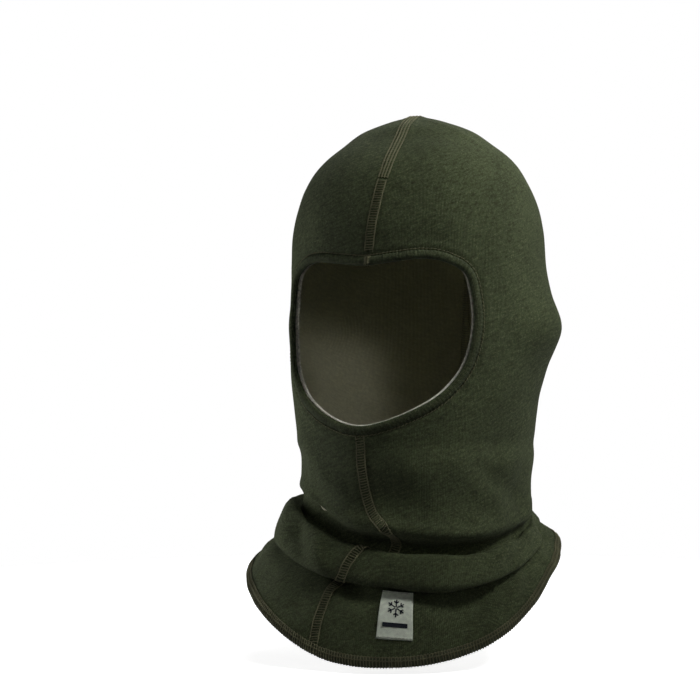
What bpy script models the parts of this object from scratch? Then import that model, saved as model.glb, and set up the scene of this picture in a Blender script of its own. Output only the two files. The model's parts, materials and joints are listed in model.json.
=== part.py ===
"""Two-layer knitted balaclava, made of separate sewn pieces: panels, bindings, seams, hem and label.

Frame: +Z up, the wearer looks along -Y and their left side is +X. The origin is the highest point of
the inside of the crown, where the head meets the lining. Tables are in millimetres and degrees: depth
is measured down from the outside of the crown, azimuth from the middle of the face towards +X.
"""
import bmesh
import bpy
import numpy as np

MM = 0.001

# --- driving dimensions, in millimetres ---
OUTER_CLOTH = 1.5          # thickness of the outer jersey
LINING_CLOTH = 1.2         # thickness of the lining jersey
LAYER_GAP = 0.4            # air between the two layers
LINING_DEPTH = OUTER_CLOTH + LAYER_GAP
WHOLE_CLOTH = LINING_DEPTH + LINING_CLOTH
CLEARANCE = 0.35           # air between a sewn-on piece and the cloth under it
LINING_CLEARANCE = 0.6     # the same under the lining's seams
HALF_GAP = 0.2             # from the centre plane to the edge of each half
SEAM_THICK = 0.7
LADDER_HALF_WIDTH = 3.3
COVER_HALF_WIDTH = 4.3
LINING_SEAM_HALF_WIDTH = 2.8
BINDING_WIDTH = 6.0
HEM_BAND = 5.2
CUT_BACK = 3.2             # from the finished edge of the face opening to the cloth's cut edge
FACE_RADIUS = 88.0         # radius at which the face opening is drawn flat

# Head: depth, half-width, reach forward, reach back, azimuth of the centre seam.
HEAD_RINGS = (
    (0.0, 0.0, 0.0, 0.0, 12.0),
    (1.5, 9.0, 8.0, 9.0, 12.0),
    (5.0, 23.0, 19.0, 23.0, 12.0),
    (12.0, 41.0, 34.0, 39.0, 11.0),
    (22.0, 55.5, 46.0, 51.0, 10.0),
    (34.0, 70.5, 60.0, 65.0, 9.0),
    (48.0, 80.0, 71.0, 76.0, 7.5),
    (64.0, 87.0, 78.0, 84.0, 5.5),
    (84.0, 91.5, 83.0, 91.0, 3.5),
    (106.0, 93.0, 84.0, 94.0, 2.0),
    (130.0, 93.0, 86.0, 93.0, 1.0),
    (155.0, 93.0, 88.0, 91.0, 0.5),
    (180.0, 92.0, 90.0, 88.0, 0.0),
    (205.0, 89.0, 92.0, 84.0, 0.0),
    (228.0, 85.0, 93.0, 87.0, 0.0),
    (236.0, 84.0, 93.0, 87.0, 0.0),
)
# Neck and flap: azimuth of the chin seam, then radii and depths at azimuths -180, -135 ... 135.
NECK_RINGS = (
    # throat, then the smooth tube of the neck
    (0.0, (87, 86, 82, 85, 93, 91, 85, 86), (243, 244, 246, 246, 250, 250, 247, 245)),
    (0.0, (85.5, 84, 82, 85, 91, 91, 83, 82.5), (253, 254, 258, 260, 270, 272, 268, 256)),
    (3.0, (85, 84, 83, 86, 91, 93, 83, 81), (260, 261, 263, 266, 281, 289, 280, 263.5)),
    # lip of the upper fold and the groove under it
    (8.0, (85, 84.5, 84, 87, 91.5, 94, 85, 82), (264.5, 266, 267, 270, 288, 299, 290, 269)),
    (6.0, (84.5, 83.5, 81, 82.5, 82, 85, 81, 79.5), (269, 271, 273, 277, 301, 307, 296, 274)),
    # rolled fold: top, crest and underside, then the groove under it
    (0.5, (86, 87.5, 90, 90, 91, 94, 86, 81), (273, 275.5, 278, 284, 309, 313, 300, 279)),
    (-3.0, (88.5, 93, 101, 100, 101, 103, 91, 85), (277.5, 281.5, 288, 296, 318, 323, 306, 284)),
    (-6.0, (90, 95.5, 103, 102, 104, 105, 94, 87), (282, 287.5, 297, 308, 326, 331, 311, 288.5)),
    (-6.5, (90, 94.5, 101, 98, 98, 99, 91.5, 87), (285.5, 291.5, 301, 312, 331, 335, 315, 291.5)),
    # flap: shoulder, middle and hem
    (-7.0, (91.5, 97, 110, 107, 106, 106, 98, 92), (288.5, 294.5, 305, 318, 339, 343, 318.5, 293.5)),
    (-9.5, (94, 101, 113, 115, 116, 112, 102, 97.5), (291.5, 299, 310, 330, 358, 358, 323.5, 297.5)),
    (-9.0, (97, 105, 119, 124, 124, 118, 105, 103), (296, 304.5, 316, 341, 377, 370, 329.5, 304)),
)
# The ears push the cloth out.
EAR_AZIMUTH = 100.0
EAR_DEPTH = 153.0
EAR_OUT = 13.0
EAR_SPREAD_AZIMUTH = 20.0
EAR_SPREAD_DEPTH = 25.0

# Finished edge of the face opening on one side, as azimuth and depth, from the brow to the chin.
OPENING_HALF = (
    (0, 113.5), (14, 111.5), (28, 109.5), (39, 112.5), (47.5, 122), (50.5, 147),
    (48.5, 169), (43.5, 187), (33, 203.5), (16, 217), (0, 223),
)
OPENING_STEPS = 28         # swept steps along one half of the opening

# Columns and rows of the panels' faces.
PANEL_AZIMUTHS = (0, 9, 18, 27, 35, 45, 50, 59, 72, 87, 102, 117, 132, 148, 164, 180)
PANEL_DEPTHS = (1.5, 5, 12, 24, 40, 60, 82, 98, 108, 119, 134, 152, 170, 187, 201, 213, 222, 232)
NECK_STEPS = (1, 1, 1, 1, 2, 2, 1, 1, 2, 1, 1)     # rows from each neck ring to the next

LABEL_AZIMUTHS = (11.5, 15.5, 19.5, 23.5)
LABEL_TOP = 0.55           # place on the flap, in neck rings past the groove under the roll
LABEL_BOTTOM = 2.25
LABEL_ROWS = 7

HEAD_COUNT = len(HEAD_RINGS)
LAST_RING = HEAD_COUNT + len(NECK_RINGS) - 1
GROOVE_RING = HEAD_COUNT + 8
COLOURS = {
    "green": (0.085, 0.105, 0.055, 1.0),
    "cream": (0.62, 0.58, 0.47, 1.0),
    "olive": (0.17, 0.18, 0.09, 1.0),
    "label": (0.66, 0.65, 0.55, 1.0),
}


# --- the shape of the cloth ---
def around(values, azimuth):
    """Smooth closed curve through values given every 45 degrees from -180."""
    at = (azimuth + 180.0) % 360.0 / 45.0
    k = int(at)
    near = [values[(k + j) % len(values)] for j in (-1, 0, 1, 2)]
    return through(near, 1 + at - k)


def ring(k, azimuth):
    """Radius and depth of ring k of the outer face at an azimuth."""
    if k >= HEAD_COUNT:
        _, radii, depths = NECK_RINGS[k - HEAD_COUNT]
        return around(radii, azimuth), around(depths, azimuth)
    depth, side, front, back, _ = HEAD_RINGS[k]
    if side == 0:
        return 0.0 * azimuth, depth + 0.0 * azimuth
    turn = np.radians(azimuth)
    reach = np.where(np.cos(turn) > 0, front, back)
    radius = 1 / np.hypot(np.sin(turn) / side, np.cos(turn) / reach)
    across = (np.abs((azimuth + 180) % 360 - 180) - EAR_AZIMUTH) / EAR_SPREAD_AZIMUTH
    down = (depth - EAR_DEPTH) / EAR_SPREAD_DEPTH
    return radius + EAR_OUT * np.exp(-across ** 2 - down ** 2), depth + 0.0 * azimuth


def through(points, at):
    """Smooth curve through a list of points, at a place given in points."""
    k = min(max(int(np.floor(at)), 0), len(points) - 2)
    f = at - k
    before = points[k - 1] if k > 0 else 2 * points[k] - points[k + 1]
    after = points[k + 2] if k + 2 < len(points) else 2 * points[k + 1] - points[k]
    start = (points[k + 1] - before) / 2
    end = (after - points[k]) / 2
    return (points[k] * (2 * f ** 3 - 3 * f ** 2 + 1) + start * (f ** 3 - 2 * f ** 2 + f)
            + points[k + 1] * (3 * f ** 2 - 2 * f ** 3) + end * (f ** 3 - f ** 2))


def outer_face(azimuth, place):
    """Point of the outer face, in millimetres; place counts rings from the top."""
    low = min(max(int(np.floor(place)) - 1, 0), LAST_RING - 3)
    near = [ring(k, azimuth) for k in range(low, low + 4)]
    radius = through(np.array([r for r, _ in near]), place - low)
    depth = through(np.array([d for _, d in near]), place - low)
    turn = np.radians(azimuth)
    return np.array([radius * np.sin(turn), -radius * np.cos(turn), WHOLE_CLOTH - depth])


def normal(azimuth, place):
    """Outward direction of the outer face."""
    if place < 0.02:
        return np.array([0.0, 0.0, 1.0])
    step = 0.02
    down = outer_face(azimuth, min(place + step, LAST_RING)) - outer_face(azimuth, place - step)
    along = outer_face(azimuth + 1, place) - outer_face(azimuth - 1, place)
    n = np.cross(down, along)
    return n / np.linalg.norm(n)


def skin(azimuth, place, offset=0.0):
    """Point at an offset outside (positive) or inside (negative) the outer face."""
    return outer_face(azimuth, place) + offset * normal(azimuth, place)


SEAM_AZIMUTHS = np.array([r[-1] for r in HEAD_RINGS] + [r[0] for r in NECK_RINGS])


def seam_azimuth(place):
    """Azimuth of the front centre seam."""
    return float(through(SEAM_AZIMUTHS, place))


def twisted(azimuth, place):
    """Azimuth of a panel's column, carried round with the front seam and still at the back."""
    return azimuth + seam_azimuth(place) * (1 + np.cos(np.radians(azimuth))) / 2


HEAD_PLACES = np.linspace(0, HEAD_COUNT - 1, 40 * HEAD_COUNT)
HEAD_DEPTHS = np.array([through(np.array([r[0] for r in HEAD_RINGS]), p) for p in HEAD_PLACES])


def place_of(depth):
    """Place of a depth on the head."""
    return float(np.interp(depth, HEAD_DEPTHS, HEAD_PLACES))


# --- closed bodies ---
def paint(colour_name, piece):
    """Material of one piece."""
    material = bpy.data.materials.new("mat_" + piece)
    material.use_nodes = True
    shader = material.node_tree.nodes["Principled BSDF"]
    shader.inputs["Base Color"].default_value = COLOURS[colour_name]
    shader.inputs["Roughness"].default_value = 0.9
    return material


def body(name, points, faces, colour_name):
    """One closed, outward-facing object from points in millimetres."""
    mesh = bpy.data.meshes.new(name)
    mesh.from_pydata([tuple(p * MM) for p in points], [], faces)
    bm = bmesh.new()
    bm.from_mesh(mesh)
    loose = [v for v in bm.verts if not v.link_faces]
    bmesh.ops.delete(bm, geom=loose, context="VERTS")
    bmesh.ops.recalc_face_normals(bm, faces=bm.faces)
    bmesh.ops.triangulate(bm, faces=bm.faces)
    if bm.calc_volume(signed=True) < 0:
        bmesh.ops.reverse_faces(bm, faces=bm.faces)
    bm.to_mesh(mesh)
    bm.free()
    mesh.materials.append(paint(colour_name, name))
    bpy.context.scene.collection.objects.link(bpy.data.objects.new(name, mesh))


def split_quad(corner, columns):
    """The two triangles of one cell of a grid, cut the same way everywhere so layers stay parallel."""
    below = corner + columns
    return [(corner, below, below + 1), (corner, below + 1, corner + 1)]


def thick(name, outside, inside, faces, colour_name):
    """Closed body between two matching sheets of points."""
    count = len(outside)
    uses = {}
    for face in faces:
        for a, b in zip(face, face[1:] + face[:1]):
            uses[(a, b)] = uses.get((a, b), 0) + 1
    rim = [(b, a, a + count, b + count) for a, b in uses if (b, a) not in uses]
    under = [tuple(i + count for i in reversed(face)) for face in faces]
    body(name, list(outside) + list(inside), list(faces) + under + rim, colour_name)


def swept(name, sections, colour_name, closed=False):
    """Closed body through a row of matching closed sections."""
    size = len(sections[0])
    faces = []
    for i in range(len(sections) if closed else len(sections) - 1):
        here, there = i * size, (i + 1) % len(sections) * size
        for j in range(size):
            k = (j + 1) % size
            faces.append((here + j, here + k, there + k, there + j))
    if not closed:
        faces.append(tuple(range(size)))
        faces.append(tuple(range((len(sections) - 1) * size, len(sections) * size)))
    body(name, [p for section in sections for p in section], faces, colour_name)


def patch(name, azimuths_at, places, high, low, colour_name):
    """Closed strip lying on the cloth; azimuths_at(place) gives its points across."""
    outside, inside = [], []
    for place in places:
        for azimuth in azimuths_at(place):
            outside.append(skin(azimuth, place, high))
            inside.append(skin(azimuth, place, low))
    across = len(outside) // len(places)
    faces = []
    for i in range(len(places) - 1):
        for j in range(across - 1):
            faces += split_quad(i * across + j, across)
    thick(name, outside, inside, faces, colour_name)


# --- the face opening ---
def opening_outline(half_steps):
    """Closed finished edge as flat points (millimetres), from the brow round by +X to the chin and back."""
    half = np.array(OPENING_HALF, float)
    left = np.column_stack([-half[-2:0:-1, 0], half[-2:0:-1, 1]])
    knots = np.vstack([half, left])
    count = len(knots)
    ring_points = []
    for at in np.arange(0, count, count / (2 * half_steps)):
        k = int(at)
        near = np.array([knots[(k + j) % count] for j in (-1, 0, 1, 2)])
        ring_points.append(through(near, 1 + at - k))
    flat = np.array(ring_points)
    flat[:, 0] = np.radians(flat[:, 0]) * FACE_RADIUS
    return flat


def outward(flat):
    """Unit directions in the flat drawing, away from the opening."""
    along = np.roll(flat, -1, axis=0) - np.roll(flat, 1, axis=0)
    away = np.column_stack([along[:, 1], -along[:, 0]])
    away /= np.linalg.norm(away, axis=1, keepdims=True)
    middle = flat.mean(axis=0)
    if np.sum(away * (flat - middle)) < 0:
        away = -away
    return away


def on_face(flat_point, offset):
    """Point of the cloth under a flat point."""
    azimuth = np.degrees(flat_point[0] / FACE_RADIUS)
    return skin(azimuth, place_of(flat_point[1]), offset)


OUTLINE = opening_outline(OPENING_STEPS)
AWAY = outward(OUTLINE)
FINE_LINE = opening_outline(6 * OPENING_STEPS)
CUT_LINE = FINE_LINE + CUT_BACK * outward(FINE_LINE)
DROP_LINE = FINE_LINE + (CUT_BACK + 2.0) * outward(FINE_LINE)    # faces centred inside it are cut out


def inside_cut(point):
    """Whether a face centred on a flat point is cut out."""
    a, b = DROP_LINE, np.roll(DROP_LINE, -1, axis=0)
    crossing = (a[:, 1] > point[1]) != (b[:, 1] > point[1])
    height = np.where(crossing, b[:, 1] - a[:, 1], 1.0)
    side = a[:, 0] + (point[1] - a[:, 1]) / height * (b[:, 0] - a[:, 0])
    return int(np.sum(crossing & (side > point[0]))) % 2 == 1


# --- panels ---
def above_hem(azimuth, distance):
    """Place on the outer face at a distance up from the hem."""
    places = np.linspace(LAST_RING - 1, LAST_RING, 21)
    lengths = [np.linalg.norm(outer_face(azimuth, LAST_RING) - outer_face(azimuth, p)) for p in places]
    return float(np.interp(-distance, -np.array(lengths), places))


def panel_places():
    """Rows of a panel, from just under the pole to the hem."""
    places = [place_of(depth) for depth in PANEL_DEPTHS]
    for k, steps in enumerate(NECK_STEPS):
        places += [HEAD_COUNT + k + j / steps for j in range(steps)]
    return places + [LAST_RING]


def panel(name, side, high, low, colour_name):
    """Half of one layer: side is 1 for the wearer's left, -1 for their right."""
    grid = []
    for place in panel_places():
        row = []
        for azimuth in PANEL_AZIMUTHS:
            turned = azimuth * side
            row.append([twisted(turned, place), place])
        grid.append(row)
    hem_row = [[azimuth, above_hem(azimuth, HEM_BAND)] for azimuth, _ in grid[-1]]
    grid.insert(-1, hem_row)
    rows, columns = len(grid), len(PANEL_AZIMUTHS)
    in_head = len(PANEL_DEPTHS)
    kept = {}
    for i in range(rows - 1):
        for j in range(columns - 1):
            corners = [grid[a][b] for a, b in ((i, j), (i, j + 1), (i + 1, j), (i + 1, j + 1))]
            azimuth = np.mean([c[0] for c in corners])
            depth = np.interp(np.mean([c[1] for c in corners]), HEAD_PLACES, HEAD_DEPTHS)
            flat = np.array([np.radians(azimuth) * FACE_RADIUS, depth])
            kept[i, j] = i >= in_head or not inside_cut(flat)
    for i in range(1, in_head):
        for j in range(columns - 1):
            touching = [kept.get((a, b), True) for a in (i - 1, i) for b in (j - 1, j) if b >= 0]
            if all(touching) or not any(touching):
                continue
            azimuth, place = grid[i][j]
            depth = np.interp(place, HEAD_PLACES, HEAD_DEPTHS)
            here = np.array([np.radians(azimuth) * FACE_RADIUS, depth])
            line = CUT_LINE if j else CUT_LINE[np.argsort(np.abs(CUT_LINE[:, 0] - here[0]))[:4]]
            near = line[np.argmin(np.sum((line - here) ** 2, axis=1))]
            if j == 0:
                near = np.array([here[0], near[1]])
            grid[i][j] = [np.degrees(near[0] / FACE_RADIUS), place_of(near[1])]
    shift = np.array([side * HALF_GAP, 0.0, 0.0])
    pairs = [[skin(0.0, 0.0, offset) + shift] for offset in (high, low)]
    for row in grid:
        for azimuth, place in row:
            for sheet, offset in zip(pairs, (high, low)):
                sheet.append(skin(azimuth, place, offset) + shift)
    faces = [(0, 1 + j, 2 + j) for j in range(columns - 1)]
    for (i, j), keep in kept.items():
        if keep:
            faces += split_quad(1 + i * columns + j, columns)
    if side < 0:
        faces = [tuple(reversed(face)) for face in faces]
    thick(name, pairs[0], pairs[1], faces, colour_name)


# --- bindings round the face opening ---
def binding(name, side, profile, colour_name):
    """Folded band along one half of the opening; profile lists (out from the edge, offset)."""
    count = len(OUTLINE)
    order = range(0, OPENING_STEPS + 1) if side > 0 else range(count - OPENING_STEPS, count + 1)
    sections = []
    for i in order:
        flat, away = OUTLINE[i % count], AWAY[i % count]
        sections.append([on_face(flat + out * away, offset) for out, offset in profile])
    for end, section in ((0, sections[0]), (-1, sections[-1])):
        sections[end] = [p + np.array([side * HALF_GAP, 0, 0]) for p in section]
    swept(name, sections, colour_name)


def ring_of_thread(name, out, offset, colour_name):
    """Line of stitching all the way round the opening."""
    sections = []
    for flat, away in zip(OUTLINE, AWAY):
        square = ((-0.3, 0.0), (-0.3, 0.45), (0.3, 0.45), (0.3, 0.0))
        sections.append([on_face(flat + (out + du) * away, offset + dn) for du, dn in square])
    swept(name, sections, colour_name, closed=True)


# --- seams ---
def front_strip(half_width):
    """Azimuths across a strip on the front seam."""
    def across(place):
        radius = np.hypot(*outer_face(seam_azimuth(place), place)[:2])
        reach = np.degrees(half_width / max(radius, half_width))
        middle = seam_azimuth(place)
        return middle - reach, middle, middle + reach
    return across


def over_the_crown(name, half_width, high, low, front_places, back_places, colour_name):
    """Strip from the forehead over the pole to the nape."""
    outside, inside = [], []
    spine = [(seam_azimuth(p), p) for p in reversed(front_places)] + [(180.0, p) for p in back_places]
    for azimuth, place in spine:
        centre = outer_face(azimuth, place)
        radius = np.hypot(*centre[:2])
        for out in (-half_width, 0.0, half_width):
            if azimuth == 180.0:
                out = -out
            turned = azimuth + np.degrees(np.arctan2(out, radius))
            reached = place_for_radius(np.hypot(radius, out), turned) if radius < 30 else place
            outside.append(skin(turned, reached, high))
            inside.append(skin(turned, reached, low))
    faces = []
    for i in range(len(spine) - 1):
        for j in range(2):
            faces += split_quad(i * 3 + j, 3)
    thick(name, outside, inside, faces, colour_name)


def place_for_radius(radius, azimuth):
    """Place near the top of the head where the outer face has a radius."""
    places = np.linspace(0, 6, 241)
    found = [np.hypot(*outer_face(azimuth, p)[:2]) for p in places]
    return float(np.interp(radius, found, places))


def front_edge_place(out):
    """Places on the front seam at a distance out from the opening, at the brow and at the chin."""
    brow = OUTLINE[0] + out * AWAY[0]
    chin = OUTLINE[OPENING_STEPS] + out * AWAY[OPENING_STEPS]
    return place_of(brow[1]), place_of(chin[1])


# --- hem ---
def hem_overlock(name):
    """Thread-covered edge: a U-section folded round both layers at the hem."""
    low = -WHOLE_CLOTH - LINING_CLEARANCE
    band = HEM_BAND
    # up from the hem, offset, drop below the cloth's edge
    profile = (
        (band, CLEARANCE, 0.0), (band, CLEARANCE + SEAM_THICK, 0.0),
        (0.0, CLEARANCE + SEAM_THICK, 1.0), (0.0, low - SEAM_THICK, 1.0),
        (band, low - SEAM_THICK, 0.0), (band, low, 0.0), (0.0, low, 0.4), (0.0, CLEARANCE, 0.4),
    )
    sections = []
    left = [twisted(azimuth, LAST_RING) for azimuth in PANEL_AZIMUTHS]
    right = [twisted(-azimuth, LAST_RING) for azimuth in PANEL_AZIMUTHS[-2:0:-1]]
    for azimuth in left + right:
        edge = outer_face(azimuth, LAST_RING)
        down = edge - outer_face(azimuth, LAST_RING - 0.1)
        down /= np.linalg.norm(down)
        section = []
        for up, offset, fall in profile:
            place = above_hem(azimuth, up) if up else LAST_RING
            section.append(skin(azimuth, place, offset) + fall * down)
        sections.append(section)
    swept(name, sections, "olive", closed=True)


# --- build ---
for old in list(bpy.data.objects):
    bpy.data.objects.remove(old)

for side, word in ((1, "left"), (-1, "right")):
    panel("outer_panel_" + word, side, 0.0, -OUTER_CLOTH, "green")
    panel("lining_panel_" + word, side, -LINING_DEPTH, -WHOLE_CLOTH, "cream")
    binding("face_binding_" + word, side, (
        (0.0, -1.3), (0.0, 0.7), (0.9, 1.5), (3.4, 1.8), (5.4, 1.5), (BINDING_WIDTH, 0.9),
        (BINDING_WIDTH, CLEARANCE), (1.2, CLEARANCE), (1.2, -1.3)), "green")
    binding("lining_binding_" + word, side, (
        (-0.9, -1.7), (1.2, -1.7), (1.2, -3.6), (5.4, -3.6), (5.4, -4.3), (0.9, -4.6),
        (-0.5, -4.1), (-0.9, -2.6)), "cream")

ring_of_thread("face_binding_stitch", BINDING_WIDTH + 0.8, CLEARANCE, "olive")
ring_of_thread("lining_binding_stitch", BINDING_WIDTH + 0.4, -WHOLE_CLOTH - 0.8, "cream")

brow_place, chin_place = front_edge_place(BINDING_WIDTH + 1.6)
lining_brow, lining_chin = front_edge_place(BINDING_WIDTH + 1.2)
rows = panel_places()
front_hem = above_hem(seam_azimuth(LAST_RING), HEM_BAND + 0.8)
back_hem = above_hem(180.0, HEM_BAND + 0.5)
lining_high = -WHOLE_CLOTH - LINING_CLEARANCE
lining_low = lining_high - SEAM_THICK


def rows_between(first, last):
    """The panels' rows between two places, with both places."""
    return [first] + [place for place in rows if first + 0.1 < place < last - 0.1] + [last]


patch("forehead_seam", front_strip(LADDER_HALF_WIDTH), rows_between(place_of(54.5), brow_place),
      CLEARANCE + SEAM_THICK, CLEARANCE, "olive")
over_the_crown("crown_nape_seam", COVER_HALF_WIDTH, CLEARANCE + SEAM_THICK, CLEARANCE,
               rows_between(rows[0], place_of(53.0)), rows_between(0.0, back_hem), "olive")
patch("chin_seam", front_strip(LADDER_HALF_WIDTH), rows_between(chin_place, front_hem),
      CLEARANCE + SEAM_THICK, CLEARANCE, "olive")
over_the_crown("lining_crown_seam", LINING_SEAM_HALF_WIDTH, lining_high, lining_low,
               rows_between(rows[0], lining_brow), rows_between(0.0, back_hem), "cream")
patch("lining_chin_seam", front_strip(LINING_SEAM_HALF_WIDTH), rows_between(lining_chin, front_hem),
      lining_high, lining_low, "cream")

hem_overlock("hem_overlock")

label_places = np.linspace(GROOVE_RING + LABEL_TOP, GROOVE_RING + LABEL_BOTTOM, LABEL_ROWS)
patch("woven_label", lambda place: LABEL_AZIMUTHS, label_places,
      CLEARANCE + 0.6, CLEARANCE, "label")
for word, middle in (("top", label_places[0] + 0.1), ("bottom", label_places[-1] - 0.1)):
    patch("label_stitch_" + word, lambda place: np.linspace(12.2, 22.8, 4),
          (middle - 0.02, middle + 0.02), CLEARANCE + 1.2, CLEARANCE + 0.85, "cream")
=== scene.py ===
"""Looks of the two-layer knitted balaclava: cloth, bindings, sewn seams, hem and label.

Tables are in millimetres and degrees, as the garment is cut: depth is measured down from the outside
of the crown, azimuth from the middle of the face towards the wearer's left. A place counts the rings
of the tables from the top, and names a level on the cloth whatever the azimuth.
"""

import json
import math

import bmesh
import bpy
import numpy as np
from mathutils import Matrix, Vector


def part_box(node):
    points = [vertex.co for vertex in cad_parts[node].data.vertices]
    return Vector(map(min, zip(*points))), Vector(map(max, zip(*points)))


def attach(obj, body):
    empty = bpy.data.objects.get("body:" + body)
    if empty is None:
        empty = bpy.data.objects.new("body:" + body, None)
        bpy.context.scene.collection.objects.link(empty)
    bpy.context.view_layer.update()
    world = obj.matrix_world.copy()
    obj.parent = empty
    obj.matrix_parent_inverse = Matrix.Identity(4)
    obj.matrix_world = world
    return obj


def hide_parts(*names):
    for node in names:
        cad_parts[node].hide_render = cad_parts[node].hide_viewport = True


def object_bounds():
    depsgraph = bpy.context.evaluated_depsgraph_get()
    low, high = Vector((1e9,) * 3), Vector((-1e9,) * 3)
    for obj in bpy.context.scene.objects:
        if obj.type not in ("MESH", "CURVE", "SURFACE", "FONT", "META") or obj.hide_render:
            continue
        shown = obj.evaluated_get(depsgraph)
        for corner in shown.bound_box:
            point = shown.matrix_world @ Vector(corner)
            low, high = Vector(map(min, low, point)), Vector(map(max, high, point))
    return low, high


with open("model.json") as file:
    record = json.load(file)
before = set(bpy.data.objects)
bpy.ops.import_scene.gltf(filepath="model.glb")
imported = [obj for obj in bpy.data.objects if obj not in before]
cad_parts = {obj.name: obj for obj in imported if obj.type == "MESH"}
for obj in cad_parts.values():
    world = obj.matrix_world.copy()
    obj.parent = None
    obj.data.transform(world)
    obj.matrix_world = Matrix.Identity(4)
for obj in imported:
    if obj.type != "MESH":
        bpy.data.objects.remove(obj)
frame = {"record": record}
cad_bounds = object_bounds()

MM = 0.001
SEED = 7
rng = np.random.default_rng(SEED)

# --- cloth ---
OUTER_CLOTH = 1.5
LAYER_GAP = 0.4
LINING_DEPTH = OUTER_CLOTH + LAYER_GAP
WHOLE_CLOTH = 3.1
AXIS = np.array(frame["record"]["mounts"][0]["pos_m"]) / MM
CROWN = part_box("outer_panel_left")[1][2] / MM       # top of the outer cloth

# Head: depth, half-width, reach forward, reach back, azimuth of the front seam.
HEAD_RINGS = (
    (0.0, 0.0, 0.0, 0.0, 12.0),
    (1.5, 9.0, 8.0, 9.0, 12.0),
    (5.0, 23.0, 19.0, 23.0, 12.0),
    (12.0, 41.0, 34.0, 39.0, 11.0),
    (22.0, 55.5, 46.0, 51.0, 10.0),
    (34.0, 70.5, 60.0, 65.0, 9.0),
    (48.0, 80.0, 71.0, 76.0, 7.5),
    (64.0, 87.0, 78.0, 84.0, 5.5),
    (84.0, 91.5, 83.0, 91.0, 3.5),
    (106.0, 93.0, 84.0, 94.0, 2.0),
    (130.0, 93.0, 86.0, 93.0, 1.0),
    (155.0, 93.0, 88.0, 91.0, 0.5),
    (180.0, 92.0, 90.0, 88.0, 0.0),
    (205.0, 89.0, 92.0, 84.0, 0.0),
    (228.0, 85.0, 93.0, 87.0, 0.6),
    (236.0, 84.0, 93.0, 87.0, 1.0),
)
# Neck and flap: azimuth of the chin seam, then radii and depths at azimuths -180, -135 ... 135.
NECK_RINGS = (
    # throat, then the smooth tube of the neck
    (1.4, (87, 86, 82, 85, 93, 91, 85, 86), (243, 244, 246, 246, 250, 250, 247, 245)),
    (3.2, (85.5, 84, 82, 85, 90, 90, 83, 82.5), (253, 254, 258, 260, 270, 272, 268, 256)),
    (6.5, (85, 84, 83, 86, 92, 94.5, 84, 81), (259, 261, 263, 266, 281, 287, 278, 262)),
    # lip of the upper fold, the shaded band under it and the bottom of the pocket behind the roll
    (13.0, (85, 84.5, 83.5, 86, 95.5, 98, 86, 82), (264, 266, 267, 270, 289.5, 297, 287, 268)),
    (15.0, (84.5, 83.5, 81, 82, 80, 81.5, 79.5, 80), (268, 271, 272, 276, 300, 305.5, 293.5, 273)),
    (9.0, (84.5, 84, 83, 85, 84.5, 87, 82, 81), (271.5, 274, 278, 288, 314, 318, 300, 277)),
    # rolled fold: top, crest and underside, tucked in over the flap
    (2.5, (86, 87.5, 91, 92, 93.5, 95.5, 87, 82), (274, 276.5, 276, 281, 303.5, 308, 297, 280)),
    (-2.0, (88, 92, 101, 101, 101, 102, 91, 85), (278, 282, 289, 296, 314, 318, 303, 284)),
    (-4.5, (90, 95, 104, 103.5, 104.5, 105, 95, 88), (281.5, 287, 299, 310, 327, 331, 309, 288)),
    (-7.5, (90, 94, 100, 95.5, 93, 91.5, 88, 88), (284, 290, 301, 311, 325, 329.5, 311.5, 290.5)),
    # flap: shoulder, middle and hem
    (-9.5, (92, 97, 110, 107, 103.5, 102, 96, 93), (287, 293, 305, 319, 337, 341, 316, 293.5)),
    (-10.0, (94.5, 101, 114, 115, 115, 111, 101.5, 98.5), (290, 297.5, 310, 331, 357, 357, 321, 297.5)),
    (-9.0, (97, 105, 119, 124, 124, 117, 104.5, 104), (294, 303.5, 316, 341, 377, 369, 326, 302)),
)
EAR_AZIMUTH = 100.0
EAR_DEPTH = 153.0
EAR_OUT = 13.0
EAR_SPREAD_AZIMUTH = 20.0
EAR_SPREAD_DEPTH = 25.0

# Finished edge of the face opening on one side, as azimuth and depth, from the brow to the chin.
OPENING_HALF = (
    (0, 113.5), (14, 111.5), (28, 109.5), (39, 112.5), (47.5, 122), (50.5, 147),
    (48.5, 169), (43.5, 187), (33, 203.5), (16, 217), (0, 223),
)
FACE_RADIUS = 88.0
BINDING_WIDTH = 6.0
CUT_BACK = 3.2
HEM_BAND = 5.6

HEAD_COUNT = len(HEAD_RINGS)
LAST_RING = HEAD_COUNT + len(NECK_RINGS) - 1
GROOVE_RING = HEAD_COUNT + 9


# --- the cloth's surface, as tables over place and azimuth ---
def smooth_steps(points, at):
    """Smooth curve through rows of points at fractional row numbers."""
    k = np.clip(np.floor(at).astype(int), 0, len(points) - 2)
    f = (at - k).reshape((-1,) + (1,) * (points.ndim - 1))
    here, there = points[k], points[k + 1]
    before = np.where(k.reshape(f.shape) > 0, points[np.maximum(k - 1, 0)], 2 * here - there)
    last = k.reshape(f.shape) + 2 < len(points)
    after = np.where(last, points[np.minimum(k + 2, len(points) - 1)], 2 * there - here)
    start, end = (there - before) / 2, (after - here) / 2
    return (here * (2 * f ** 3 - 3 * f ** 2 + 1) + start * (f ** 3 - 2 * f ** 2 + f)
            + there * (3 * f ** 2 - 2 * f ** 3) + end * (f ** 3 - f ** 2))


def closed_curve(values, at):
    """Smooth closed curve through values, at fractional positions in them."""
    values = np.asarray(values, float)
    turns = np.concatenate([values[-2:], values, values[:3]])
    return smooth_steps(turns, np.asarray(at) % len(values) + 2)


COLUMNS_PER_DEGREE = 2
ROWS_PER_PLACE = 30
NECK_STEP = 45                                    # degrees between the columns of NECK_RINGS
AZIMUTHS = np.linspace(-180.0, 180.0, 360 * COLUMNS_PER_DEGREE + 1)
PLACES = np.linspace(0.0, LAST_RING, ROWS_PER_PLACE * LAST_RING + 1)


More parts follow.
